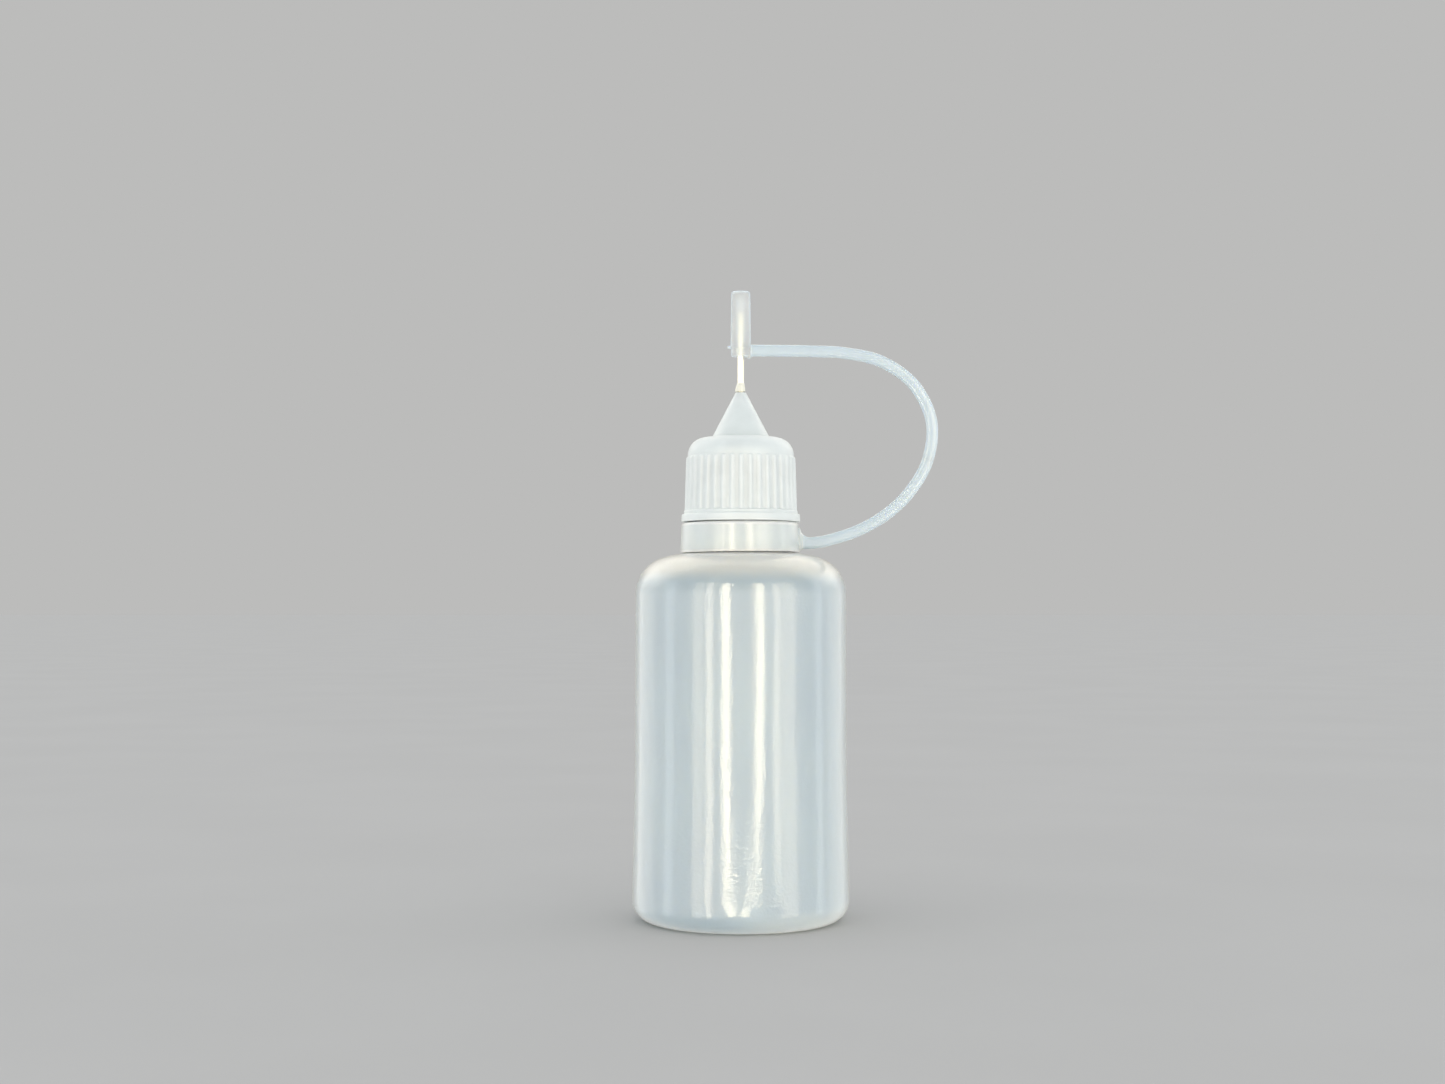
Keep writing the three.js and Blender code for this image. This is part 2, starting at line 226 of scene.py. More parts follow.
REACH = 0.85  # how much of a side one rounded corner may take
TINY = 1e-4  # lengths below this count as none


def rounded(corners, steps=8):
    """An outline whose corners, each (radius, height, rounding), are turned into arcs."""
    points = [Vector(corners[0][:2])]
    for before, corner, after in zip(corners, corners[1:], corners[2:]):
        here = Vector(corner[:2])
        back = Vector(before[:2]) - here
        ahead = Vector(after[:2]) - here
        reach = min(back.length, ahead.length) * REACH
        back.normalize()
        ahead.normalize()
        half = back.angle(ahead) / 2
        cut = min(corner[2] / math.tan(half), reach) if corner[2] else 0.0
        if cut < TINY:
            points.append(here)
            continue
        radius = cut * math.tan(half)
        centre = here + (back + ahead).normalized() * (radius / math.sin(half))
        first = here + back * cut - centre
        turn = first.angle_signed(here + ahead * cut - centre)
        for step in range(steps + 1):
            angle = turn * step / steps
            points.append(centre + Matrix.Rotation(-angle, 2) @ first)
    points.append(Vector(corners[-1][:2]))
    return points


def closed_rounded(corners, steps=6):
    """The same for an outline that closes on itself."""
    looped = [corners[-1], *corners, corners[0]]
    return rounded(looped, steps)[1:-1]


def refined(points, longest, low=-math.inf, high=math.inf):
    """Splits the stretches between two heights so that none is longer than longest."""
    fine = [points[0]]
    for a, b in zip(points, points[1:]):
        inside = low <= (a.y + b.y) / 2 <= high
        parts = max(1, math.ceil((b - a).length / longest)) if inside else 1
        fine += [a.lerp(b, part / parts) for part in range(1, parts + 1)]
    return fine


# ---------------------------------------------------------------- meshes

CREASE = 40  # edges sharper than this many degrees stay sharp
NEAR = 0.05  # heights and radii this near to each other count as the same
BODY_STEP = 1.6  # longest stretch of an outline on the bottle's body
THREAD_STEP = 0.14  # on its thread
RIB_STEP = 0.7  # on the ribs
RIB_END_STEP = 0.09  # and where they round off


def new_object(name, vertices, faces):
    """A smooth-shaded object from vertices in millimetres, with sharp creases kept."""
    mesh = bpy.data.meshes.new(name)
    mesh.from_pydata([Vector(v) * MM for v in vertices], [], faces)
    mesh.validate()
    mesh.polygons.foreach_set("use_smooth", [True] * len(mesh.polygons))
    mesh.set_sharp_from_angle(angle=math.radians(CREASE))
    made = bpy.data.objects.new(name, mesh)
    bpy.context.scene.collection.objects.link(made)
    return made


def turned(name, outline, sides, shape=None, loop=False):
    """An outline of radius and height turned about the axis. shape(angle, point) may change a radius.

    The outline starts and ends on the axis, or closes on itself if loop is set.
    """
    vertices, rows = [], []
    for point in outline:
        if point.x < TINY:
            rows.append([len(vertices)] * sides)
            vertices.append((0.0, 0.0, point.y))
            continue
        rows.append(list(range(len(vertices), len(vertices) + sides)))
        for side in range(sides):
            angle = math.tau * side / sides
            radius = shape(angle, point) if shape else point.x
            vertices.append((radius * math.cos(angle), radius * math.sin(angle), point.y))
    if loop:
        rows.append(rows[0])
    faces = []
    for lower, upper in zip(rows, rows[1:]):
        for side in range(sides):
            after = (side + 1) % sides
            corners = (lower[side], lower[after], upper[after], upper[side])
            face = tuple(dict.fromkeys(corners))
            if len(face) > 2:
                faces.append(face)
    return new_object(name, vertices, faces)


def smoothstep(value):
    """Goes smoothly from 0 to 1 as the value does."""
    value = min(1.0, max(0.0, value))
    return value * value * (3 - 2 * value)


def ridge(angle, height, start):
    """How far a thread's ridge stands out at a place, from 0 to 1."""
    turn = angle / math.tau
    most = 0.0
    for whole in range(math.ceil(THREAD_TURNS)):
        along = turn + whole
        if along > THREAD_TURNS:
            continue
        off = abs(height - start - PITCH * along)
        run_out = smoothstep(along / RIDGE_FADE) * smoothstep((THREAD_TURNS - along) / RIDGE_FADE)
        most = max(most, smoothstep((RIDGE_ROOT - off) / RIDGE_FLANK) * run_out)
    return most


def joined(piece, *others):
    """One closed body made of piece and the others."""
    for other in others:
        union = piece.modifiers.new("union", "BOOLEAN")
        union.operation = "UNION"
        union.solver = "EXACT"
        union.object = other
    depsgraph = bpy.context.evaluated_depsgraph_get()
    mesh = bpy.data.meshes.new_from_object(piece.evaluated_get(depsgraph))
    piece.modifiers.clear()
    piece.data = mesh
    piece.data.polygons.foreach_set("use_smooth", [True] * len(piece.data.polygons))
    piece.data.set_sharp_from_angle(angle=math.radians(CREASE))
    for other in others:
        bpy.data.objects.remove(other)
    return piece


def bottle_body():
    """The blow-moulded bottle: a hollow shell with its neck and thread, a faint parting line and waves."""

    def shape(angle, point):
        """Adds the waves and the parting line to the body, and the thread to the neck."""
        radius = point.x
        if point.y < NECK_FOOT - 1:
            place = Vector((math.cos(angle), math.sin(angle), point.y / WAVE_STRETCH))
            relief = WAVE * noise.noise(place * WAVES_ROUND)
            if radius >= BODY_RADIUS - WALL / 2:
                relief += PARTING * max(0.0, 1 - abs(math.sin(angle)) * radius / PARTING_WIDTH)
            return radius + relief * min(1, radius / CALM_RADIUS)
        if radius > (NECK_BORE + NECK_ROOT) / 2:
            return radius + THREAD_DEPTH * ridge(angle, point.y, THREAD_START)
        return radius

    def shoulder(radius, drop):
        """The shoulder's height at a radius, or that of a surface at a drop below it."""
        return SHOULDER_EDGE - drop + SHOULDER_SLOPE * (BODY_RADIUS - radius)

    inner = BODY_RADIUS - WALL
    outline = rounded(
        [
            (0, PUSH_UP, 0),
            (PUSH_UP_RADIUS, PUSH_UP, 2),
            (FOOT_RADIUS, 0, 0.8),
            (BASE_RADIUS, 0, BASE_CORNER),
            (BASE_RADIUS, FLARE_BOTTOM, 8),
            (FLARE_MIDDLE_RADIUS, FLARE_MIDDLE, 30),
            (BODY_RADIUS, FLARE_TOP, 60),
            (BODY_RADIUS, SHOULDER_EDGE, SHOULDER_CORNER),
            (NECK_RADIUS, shoulder(NECK_RADIUS, 0), 0.5),
            (NECK_RADIUS, NECK_STEP, 0.2),
            (NECK_ROOT, NECK_STEP + NECK_STEP_HEIGHT, 0.2),
            (NECK_ROOT, NECK_TOP, 0.35),
            (NECK_BORE, NECK_TOP, 0.3),
            (NECK_BORE, BORE_FOOT, 1.6),
            (inner, shoulder(inner, WALL + 0.02), SHOULDER_CORNER - WALL),
            (inner, FLARE_TOP, 60),
            (FLARE_MIDDLE_RADIUS - WALL, FLARE_MIDDLE, 30),
            (BASE_RADIUS - FLOOR_WALL, FLARE_BOTTOM, 8),
            (BASE_RADIUS - FLOOR_WALL, FLOOR_WALL, BASE_CORNER - FLOOR_WALL),
            (0, FLOOR_WALL, 0),
        ],
        steps=14,
    )
    outline = refined(outline, BODY_STEP, high=NECK_FOOT)
    outline = refined(outline, THREAD_STEP, low=NECK_STEP + 0.6, high=NECK_TOP - 1)
    return turned("bottle_body", outline, BODY_SIDES, shape)


def cap_body():
    """The nozzle cap: lip, ribbed skirt, dome and cone outside; thread, plug and passage inside."""

    def shape(angle, point):
        """Adds the thread to the skirt's bore and the ribs to its outside."""
        radius, height = point.x, point.y
        if radius < SKIRT_BORE + NEAR:
            if LIP_TOP < height < PLUG_BOTTOM and radius > PLUG_RADIUS + 1:
                return radius - CAP_THREAD_DEPTH * ridge(angle, height, THREAD_START - PITCH / 2)
            return radius
        if not RIB_BOTTOM - NEAR < height < RIB_TOP + NEAR:
            return radius
        across = abs((angle / math.tau * RIBS) % 1 - 0.5) * 2
        crest = smoothstep((RIB_FOOT - across) / RIB_FLANK)
        top = min(1.0, max(0.0, (RIB_TOP - height) / RIB_END))
        raised = (height - RIB_BOTTOM) / (RIB_TOP - RIB_BOTTOM)
        valley = VALLEY_BOTTOM + (VALLEY_TOP - VALLEY_BOTTOM) * raised
        return max(radius, valley + RIB_DEPTH * crest * math.sqrt(1 - (1 - top) ** 2))

    outline = rounded(
        [
            (NEEDLE_HOLE, CONE_TIP, 0),
            (CONE_TIP_RADIUS, CONE_TIP, 0.12),
            (CONE_FOOT, DOME_TOP, 0.5),
            (DOME_RADIUS, DOME_TOP, DOME_CORNER),
            (VALLEY_TOP, RIB_TOP - 0.3, 0.3),
            (VALLEY_BOTTOM, RIB_BOTTOM + 0.2, 0.12),
            (BAND_RADIUS, RIB_BOTTOM, 0.12),
            (BAND_RADIUS, LIP_TOP, 0.12),
            (LIP_RADIUS - 0.05, LIP_TOP, 0.22),
            (LIP_RADIUS, CAP_LOW.z, 0.07),
            (SKIRT_BORE, CAP_LOW.z, 0.2),
            (SKIRT_BORE, SKIRT_BORE_TOP, 0.5),
            (LAND_RADIUS, LAND_BOTTOM, 0.5),
            (LAND_RADIUS, CEILING, 0.2),
            (PLUG_RADIUS, CEILING, 0.2),
            (PLUG_RADIUS, PLUG_BOTTOM + PLUG_LEAD, 0.2),
            (PLUG_RADIUS - PLUG_LEAD, PLUG_BOTTOM, 0.15),
            (PLUG_BORE, PLUG_BOTTOM, 0.2),
            (PLUG_BORE, CEILING, 1.0),
            (CONE_BORE, DOME_TOP, 1.0),
            (NEEDLE_HOLE + SEAT_LEDGE, NEEDLE_LOW.z - SEAT_GAP, 0.1),
            (NEEDLE_HOLE, NEEDLE_LOW.z, 0),
            (NEEDLE_HOLE, CONE_TIP, 0),
        ],
        steps=8,
    )[:-1]
    outline = refined(outline, RIB_END_STEP, low=RIB_TOP - 0.6, high=RIB_TOP + 0.1)
    outline = refined(outline, RIB_STEP, low=RIB_BOTTOM + 0.4, high=RIB_TOP - 0.6)
    outline.reverse()
    return turned("cap_body", outline, RIBS * SIDES_PER_RIB, shape, loop=True)


def needle():
    """The blunt steel tube."""
    outline = closed_rounded(
        [
            (NEEDLE_BORE, NEEDLE_LOW.z, 0.03),
            (NEEDLE_RADIUS, NEEDLE_LOW.z, 0.03),
            (NEEDLE_RADIUS, NEEDLE_HIGH.z, 0.07),
            (NEEDLE_BORE, NEEDLE_HIGH.z, 0.05),
        ]
    )
    return turned("needle_steel", outline, NEEDLE_SIDES, loop=True)


def bond():
    """The bead that creeps up the needle from the tip of the cone."""

    def shape(angle, point):
        """Swells the bead's outside towards its foot on one side."""
        if point.x <= NEEDLE_HOLE + 0.02:
            return point.x
        lean = max(0.0, math.cos(angle - BEAD_SIDE))
        return point.x + BEAD_SWELL * lean * smoothstep(BOND_HIGH.z - point.y)

    foot = BOND_LOW.z
    outline = closed_rounded(
        [
            (NEEDLE_HOLE, foot, 0),
            (BOND_HIGH.x - 0.04, foot, 0.1),
            (BOND_HIGH.x - 0.1, foot + BEAD_FOOT_HEIGHT, 0.6),
            (NEEDLE_HOLE + 0.04, BOND_HIGH.z, 0.03),
            (NEEDLE_HOLE, BOND_HIGH.z, 0),
        ]
    )
    return turned("needle_bead", outline, BEAD_SIDES, shape, loop=True)


def ring_blank():
    """The tether's ring, which leans a little and sits to one side on the neck."""
    low, high = RING_LOW.z - RING_DROP, RING_HIGH.z + RING_RISE
    outline = closed_rounded(
        [
            (RING_BORE, low + RING_UNDERCUT, 0.25),
            (RING_RADIUS, low, 0.07),
            (RING_TOP_RADIUS, high, 0.45),
            (RING_BORE, high, 0.3),
        ]
    )
    ring = turned("tether_lower", outline, RING_SIDES, loop=True)
    middle = Matrix.Translation(Vector((0, 0, (low + high) / 2)) * MM)
    lean_x = Matrix.Rotation(math.radians(RING_LEAN["X"]), 4, "X")
    lean = Matrix.Rotation(math.radians(RING_LEAN["Y"]), 4, "Y") @ lean_x
    aside = Matrix.Translation(Vector((RING_ASIDE, 0, 0)) * MM)
    ring.data.transform(middle @ aside @ lean @ middle.inverted())
    return ring


def strap_line(per_span=14):
    """The strap's centre line as evenly dense points, by Catmull-Rom through the route."""
    knots = [Vector(p) for p in STRAP_ROUTE]
    knots = [knots[0] * 2 - knots[1], *knots, knots[-1] * 2 - knots[-2]]
    line = []
    for a, b, c, d in zip(knots, knots[1:], knots[2:], knots[3:]):
        slope = c - a
        bend = 2 * a - 5 * b + 4 * c - d
        twist = 3 * b - a - 3 * c + d
        for step in range(per_span):
            t = step / per_span
            line.append(0.5 * (2 * b + slope * t + bend * t * t + twist * t**3))
    line.append(knots[-2])
    return line


def fillet(distance, radius):
    """How much a side swells at a distance from the wall it grows out of."""
    if radius <= 0 or distance >= radius:
        return 0.0
    rest = radius - max(0.0, distance)
    return radius - math.sqrt(max(0.0, radius * radius - rest * rest))


def strap_tube(name, line, first, last, start_wall=None, end_wall=None):
    """A rounded strap along the line's points from first to last, which swells where it grows out of a wall.

    A wall at the line's start or end is its distance along the line and its upper, lower and side fillets.
    """
    around = STRAP_SIDES
    gone = [0.0]
    for a, b in zip(line, line[1:]):
        gone.append(gone[-1] + (b - a).length)
    vertices = []
    for i in range(first, last + 1):
        point = line[i]
        along = (line[min(i + 1, len(line) - 1)] - line[max(i - 1, 0)]).normalized()
        normal = Vector((-along.y, along.x))
        upper = lower = STRAP_THICK / 2
        side = STRAP_WIDE / 2
        for wall, distance in ((start_wall, gone[i]), (end_wall, gone[-1] - gone[i])):
            if wall:
                upper += fillet(distance - wall[0], wall[1])
                lower += fillet(distance - wall[0], wall[2])
                side += fillet(distance - wall[0], wall[3])
        for step in range(around):
            angle = math.tau * step / around
            c, s = math.cos(angle), math.sin(angle)
            reach = (abs(c) ** STRAP_SQUARENESS + abs(s) ** STRAP_SQUARENESS) ** (-1 / STRAP_SQUARENESS)
            off = reach * s * (upper if s > 0 else lower)
            place = point + normal * off
            vertices.append((place.x, -reach * c * side, place.y))
    faces = []
    for i in range(last - first):
        for step in range(around):
            after = (step + 1) % around
            here, ahead = i * around, (i + 1) * around
            faces.append((here + step, here + after, ahead + after, ahead + step))
    faces.append(tuple(reversed(range(around))))
    faces.append(tuple(range(len(vertices) - around, len(vertices))))
    return new_object(name, vertices, faces)


def cover_blank():
    """The needle cover: a thin blind tube, a shade narrower at its collar."""
    low, high = COVER_LOW.z, COVER_HIGH.z
    outline = rounded(
        [
            (0, COVER_BORE_TOP, 0),
            (COVER_BORE, COVER_BORE_TOP, 0.5),
            (COVER_BORE, low, 0.12),
            (COLLAR_RADIUS, low, 0.14),
            (COLLAR_RADIUS, COLLAR_TOP - COLLAR_STEP, 0.05),
            (COVER_RADIUS, COLLAR_TOP, 0.05),
            (COVER_TOP_RADIUS, high, 0.42),
            (0, high, 0),
        ]
    )
    return turned("tether_upper", outline, COVER_SIDES)


def gate_mark():
    """The nub that is left where the tether was cut from its runner, opposite the strap."""
    outline = closed_rounded(
        [
            (GATE_PIN, -GATE_SUNK, 0),
            (GATE_RADIUS, -GATE_SUNK, 0.02),
            (GATE_RADIUS - 0.02, GATE_LENGTH, 0.16),
            (GATE_PIN, GATE_LENGTH, 0),
        ],
        steps=4,
    )
    nub = turned("gate_mark", outline, GATE_SIDES, loop=True)
    spin = Matrix.Rotation(math.radians(-90), 4, "Y")
    place = Matrix.Translation(Vector((-COVER_RADIUS, 0, COLLAR_TOP + COLLAR_STEP)) * MM)
    nub.data.transform(place @ spin)
    return nub


def tether_pieces():
    """The tether in two: the ring with the lower strap, and the upper strap with the needle's cover."""
    line = strap_line()
    split = next(i for i, point in enumerate(line) if point.y > SPLIT_HEIGHT)
    ring_wall = (RING_RADIUS - line[0].x, *RING_FILLETS)
    cover_wall = (COVER_RADIUS - line[-1].x, *COVER_FILLETS)
    lower = strap_tube("strap_lower", line, 0, split, start_wall=ring_wall)
    upper = strap_tube("strap_upper", line, split, len(line) - 1, end_wall=cover_wall)
    return joined(ring_blank(), lower), joined(cover_blank(), upper, gate_mark())


# ---------------------------------------------------------------- materials


def linear(colour):
    """An sRGB colour in 0 to 255 as a linear one with alpha."""

    def part(value):
        value /= 255
        return value / 12.92 if value <= 0.04045 else ((value + 0.055) / 1.055) ** 2.4

    return (*map(part, colour), 1.0)


class Look:
    """A material of one Principled shader, whose colour, gloss and bump vary over the surface."""

    def __init__(self, name, **sockets):
        """Sockets are the shader's own, with _ for a space, and keep the values given here."""
        self.material = bpy.data.materials.new(name)
        self.material.use_nodes = True
        self.nodes = self.material.node_tree.nodes
        self.links = self.material.node_tree.links
        self.shader = self.nodes["Principled BSDF"]
        self.place = self.nodes.new("ShaderNodeTexCoord").outputs["Object"]
        self.normal = None
        for socket, value in sockets.items():
            self.shader.inputs[socket.replace("_", " ")].default_value = value

    def noise(self, size, detail=3.0, stretch=(1, 1, 1), shift=0.0):
        """Noise whose grain is size millimetres across, drawn out along the axes by stretch."""
        mapping = self.nodes.new("ShaderNodeMapping")
        mapping.inputs["Scale"].default_value = [1 / (size * MM * s) for s in stretch]
        mapping.inputs["Location"].default_value = (shift, shift, shift)
        texture = self.nodes.new("ShaderNodeTexNoise")
        texture.inputs["Scale"].default_value = 1.0
        texture.inputs["Detail"].default_value = detail
        self.links.new(self.place, mapping.inputs["Vector"])
        self.links.new(mapping.outputs["Vector"], texture.inputs["Vector"])
        return texture.outputs["Fac"]

    def spread(self, value, low, high, start=0.3, end=0.7):
        """Goes from low to high as a value goes from start to end, which are a noise's middle range."""
        node = self.nodes.new("ShaderNodeMapRange")
        node.interpolation_type = "SMOOTHSTEP"
        node.inputs["From Min"].default_value = start
        node.inputs["From Max"].default_value = end
        node.inputs["To Min"].default_value = low
        node.inputs["To Max"].default_value = high
        self.links.new(value, node.inputs["Value"])
        return node.outputs["Result"]

    def along(self, axis):
        """The place along an axis, in millimetres."""
        split = self.nodes.new("ShaderNodeSeparateXYZ")
        self.links.new(self.place, split.inputs["Vector"])
        node = self.nodes.new("ShaderNodeMath")
        node.operation = "DIVIDE"
        node.inputs[1].default_value = MM
        self.links.new(split.outputs[axis], node.inputs[0])
        return node.outputs["Value"]

    def mixed(self, value, before, after):
        """A colour from before to after, each an sRGB colour or a socket, with a value of 0 to 1."""
        node = self.nodes.new("ShaderNodeMix")
        node.data_type = "RGBA"
        for socket, side in (("A", before), ("B", after)):
            if isinstance(side, tuple):
                node.inputs[socket].default_value = linear(side)
            else:
                self.links.new(side, node.inputs[socket])
        self.links.new(value, node.inputs["Factor"])
        return node.outputs["Result"]

    def banded(self, colour, bands):
        """Turns a colour into others where the height passes the bands, each (start, end, colour)."""
        height = self.along("Z")
        for start, end, other in bands:
            colour = self.mixed(self.spread(height, 0, 1, start, end), colour, other)
        return colour

    def colour(self, value, dark, light):
        """Base colour that goes from dark to light, both sRGB in 0 to 255, with a value of 0 to 1."""
        self.paint(self.mixed(value, dark, light))

    def paint(self, colour):
        """Base colour from a socket."""
        self.links.new(colour, self.shader.inputs["Base Color"])

    def roughness(self, value):
        """Roughness from a socket."""
        self.links.new(value, self.shader.inputs["Roughness"])

    def bump(self, value, height):
        """Adds a relief of that height in millimetres."""
        node = self.nodes.new("ShaderNodeBump")
        node.inputs["Distance"].default_value = height * MM
        node.inputs["Strength"].default_value = 1.0
        self.links.new(value, node.inputs["Height"])
        if self.normal:
            self.links.new(self.normal, node.inputs["Normal"])
        self.normal = node.outputs["Normal"]

    def finish(self):
        """Joins the relief to the shader and gives the material."""
        if self.normal:
            self.links.new(self.normal, self.shader.inputs["Normal"])
            self.links.new(self.normal, self.shader.inputs["Coat Normal"])
        return self.material


def milky_ldpe():
    """The bottle: milky polyethylene with a moulded gloss, clouding and orange peel.

    Its foot goes from darker on the -X side to lighter on the +X side. Painted shade darkens the wall just
    under the shoulder, a painted highlight whitens the shoulder's corner, and painted light whitens its
    slope against the ring's shadow.
    """
    look = Look(
        "milky_ldpe",
        Subsurface_Weight=0.7,
        Subsurface_Scale=0.0012,
        Subsurface_Radius=(0.9, 1.0, 1.15),
        Transmission_Weight=0.4,
        IOR=1.5,
        Specular_IOR_Level=0.28,
        Coat_Weight=0.8,
        Coat_Roughness=0.06,
        Coat_IOR=1.5,
        Sheen_Weight=0.18,
        Sheen_Roughness=0.4,
    )
    cloud = look.spread(look.noise(9, detail=4, stretch=(1, 1, 2.4)), 0, 1)
    wall = look.mixed(cloud, (208, 220, 227), (213, 225, 230))
    # The foot goes from darker at -X to lighter at +X.
    base = look.mixed(look.spread(look.along("X"), 0, 1, -5, 7), (201, 216, 223), (228, 236, 237))
    # Painted shade, a painted highlight and painted light for the bands below.
    painted_shade_band, corner, slope = (204, 217, 223), (238, 239, 233), (250, 250, 247)
    bands = [
        (1.6, 3.8, wall),
        # Painted shade: the band under the shoulder is darkened in place of its dark reflection.
        (SHOULDER_EDGE - 5.1, SHOULDER_EDGE - 3.8, painted_shade_band),
        # Painted highlight: the shoulder's corner is whitened in place of a warm reflection.
        (SHOULDER_EDGE - 3.2, SHOULDER_EDGE - 0.9, corner),
        # Painted light: the slope under the ring is whitened to lift the ring's shadow.
        (SHOULDER_EDGE + 0.7, SHOULDER_EDGE + 1.4, slope),
    ]
    look.paint(look.banded(base, bands))
    look.roughness(look.spread(look.noise(2.5, detail=5, shift=3), 0.34, 0.44))
    look.bump(look.noise(1.1, detail=2, stretch=(1, 1, 1.5)), 0.003)
    look.bump(look.noise(0.5, detail=1, shift=7), 0.024)
    return look.finish()


def white_polyethylene():
    """The cap: nearly opaque white polyethylene with a satin face."""
    look = Look(
        "white_polyethylene",
        Subsurface_Weight=0.8,
        Subsurface_Scale=0.0012,
        Subsurface_Radius=(1.0, 1.0, 1.0),
        IOR=1.5,
        Coat_Weight=0.18,
        Coat_Roughness=0.5,
    )
    cloud = look.noise(3.5, detail=4)
    look.colour(look.spread(cloud, 0, 1), (222, 228, 227), (228, 234, 233))
    look.roughness(look.spread(look.noise(1.2, detail=4, shift=5), 0.38, 0.52))
    look.bump(look.noise(0.35, detail=3), 0.004)
    look.bump(look.noise(2.4, detail=2, shift=2), 0.01)
    return look.finish()


def thin_tip():
    """The tip of the cone, where the plastic is thin enough for the needle's root to show."""
    look = Look(
        "thin_tip",
        Subsurface_Weight=0.5,
        Subsurface_Scale=0.0006,
        Subsurface_Radius=(1.0, 1.0, 1.0),
        Transmission_Weight=0.8,
        IOR=1.05,
        Specular_IOR_Level=0.3,
        Sheen_Weight=0.1,
    )
    look.colour(look.spread(look.noise(0.8), 0, 1), (230, 235, 231), (236, 240, 235))
    look.roughness(look.spread(look.noise(0.6, shift=5), 0.14, 0.2))
    look.bump(look.noise(0.35, detail=3), 0.002)
    return look.finish()


def soft_ldpe():
    """The tether: thin clear-milky polyethylene, bluish, with a faint unevenness."""
    look = Look(
        "soft_ldpe",
        Subsurface_Weight=0.6,
        Subsurface_Scale=0.0007,
        Subsurface_Radius=(1.0, 1.1, 1.3),
        Transmission_Weight=0.16,
        IOR=1.25,
        Coat_Weight=0.6,
        Coat_Roughness=0.22,
    )
    cloud = look.noise(2.2, detail=4)
    look.colour(look.spread(cloud, 0, 1), (214, 226, 231), (218, 229, 234))
    look.roughness(look.spread(look.noise(1.0, detail=4, shift=4), 0.4, 0.5))
    look.bump(look.noise(0.3, detail=3), 0.001)
    look.bump(look.noise(1.6, detail=2, shift=9), 0.002)
    return look.finish()


def thin_ldpe():
    """The needle cover's wall, the same plastic but so thin that the needle shows through."""
    look = Look(
        "thin_ldpe",
        Subsurface_Weight=0.4,
        Subsurface_Scale=0.0008,
        Subsurface_Radius=(1.0, 1.1, 1.3),
        Transmission_Weight=0.77,
        IOR=1.03,
        Specular_IOR_Level=0.0,
        Sheen_Weight=1.0,
        Sheen_Roughness=0.5,
        Sheen_Tint=(0.8, 0.92, 1.0, 1.0),
    )
    cloud = look.noise(1.6, detail=4)
    look.colour(look.spread(cloud, 0, 1), (244, 248, 252), (247, 250, 253))
    look.roughness(look.spread(look.noise(1.0, detail=4, shift=4), 0.02, 0.04))
    look.bump(look.noise(2.4, detail=2, shift=9), 0.001)
    return look.finish()


def ring_ldpe():
    """The ring: the strap's plastic, but thick and backed by the neck, so whiter; its top and bottom edges
    are painted white, painted light against the shade of the lip and shoulder.
    """
    look = Look(
        "ring_ldpe",
        Subsurface_Weight=0.8,
        Subsurface_Scale=0.0012,
        Subsurface_Radius=(1.0, 1.0, 1.1),
        Transmission_Weight=0.12,
        IOR=1.4,
        Coat_Weight=0.7,
        Coat_Roughness=0.2,
    )
    wall = look.mixed(look.spread(look.noise(2.2, detail=4), 0, 1), (223, 230, 229), (228, 234, 232))
    foot, top = RING_LOW.z, RING_HIGH.z
    # Painted light: white at the foot and the top, to lift the shade under the cap's lip and over the
    # shoulder.
    bands = [(foot + 0.05, foot + 0.3, wall), (top - 0.5, top - 0.1, (252, 253, 252))]
    look.paint(look.banded((250, 251, 250), bands))
    look.roughness(look.spread(look.noise(1.0, detail=4, shift=4), 0.4, 0.5))
    look.bump(look.noise(0.3, detail=3), 0.003)
    look.bump(look.noise(1.6, detail=2, shift=9), 0.006)
    return look.finish()


def stainless_steel():
    """The needle: drawn and polished tube with fine lines along it."""
    look = Look("stainless_steel", Metallic=0.7, IOR=2.5)
    lines = look.noise(0.05, detail=4, stretch=(1, 1, 40))
    look.colour(look.spread(lines, 0, 1), (252, 246, 224), (255, 251, 234))
    look.roughness(look.spread(look.noise(0.4, detail=3, stretch=(1, 1, 6)), 0.2, 0.34))
    look.bump(lines, 0.0008)
    return look.finish()


def clear_adhesive():
    """The bead of adhesive, which takes the needle's cream colour."""
    look = Look(
        "clear_adhesive",
        Subsurface_Weight=0.2,
        Subsurface_Scale=0.0002,
        Subsurface_Radius=(1.0, 1.0, 0.9),
        IOR=1.2,
    )
    look.colour(look.spread(look.noise(0.4), 0, 1), (253, 250, 230), (254, 252, 238))
    look.roughness(look.spread(look.noise(0.3, shift=1), 0.25, 0.35))
    look.bump(look.noise(0.35, detail=2), 0.004)
    return look.finish()


def dress(piece, material, slot, *nodes):
    """Gives a piece its material and hides the CAD nodes that it stands for; the slot is not used."""
    piece.data.materials.clear()
    piece.data.materials.append(material)
    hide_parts(*nodes)
    return piece


def patch(piece, material, inside):
    """Gives a second material to the faces whose centre is inside, which is told it in metres."""
    piece.data.materials.append(material)
    for face in piece.data.polygons:
        if inside(face.center):
            face.material_index = 1


# ---------------------------------------------------------------- stage

CAMERA_PLACE = (-2.8, -306, 48.7)
CAMERA_TILT = 1.65  # degrees upwards
CAMERA_LENS = 49.8
SENSOR_WIDTH = 36
FLOOR_SIDE = 12000
CARD_DISTANCE = 400
CARD_TOP = 291  # cards end at the height that shows where the shoulder begins to curve
FRONT_STRENGTH = 2.15  # radiance of the soft lights
SIDE_STRENGTH = 1.5
BACK_STRENGTH = 0.15
SKY = (221, 223, 225)
SKY_STRENGTH = 1.2
BACKDROP = (188, 188, 187)
MIRRORED_COLOUR = (244, 238, 226)
MIRRORED = 1.1  # how bright glossy faces see the world to be
MIRRORED_ABOVE = 0.1  # and how bright above the front
MIRRORED_BEHIND = 2.2  # how many times brighter it is above the back
MIRRORED_REAR = 0.45  # and straight behind


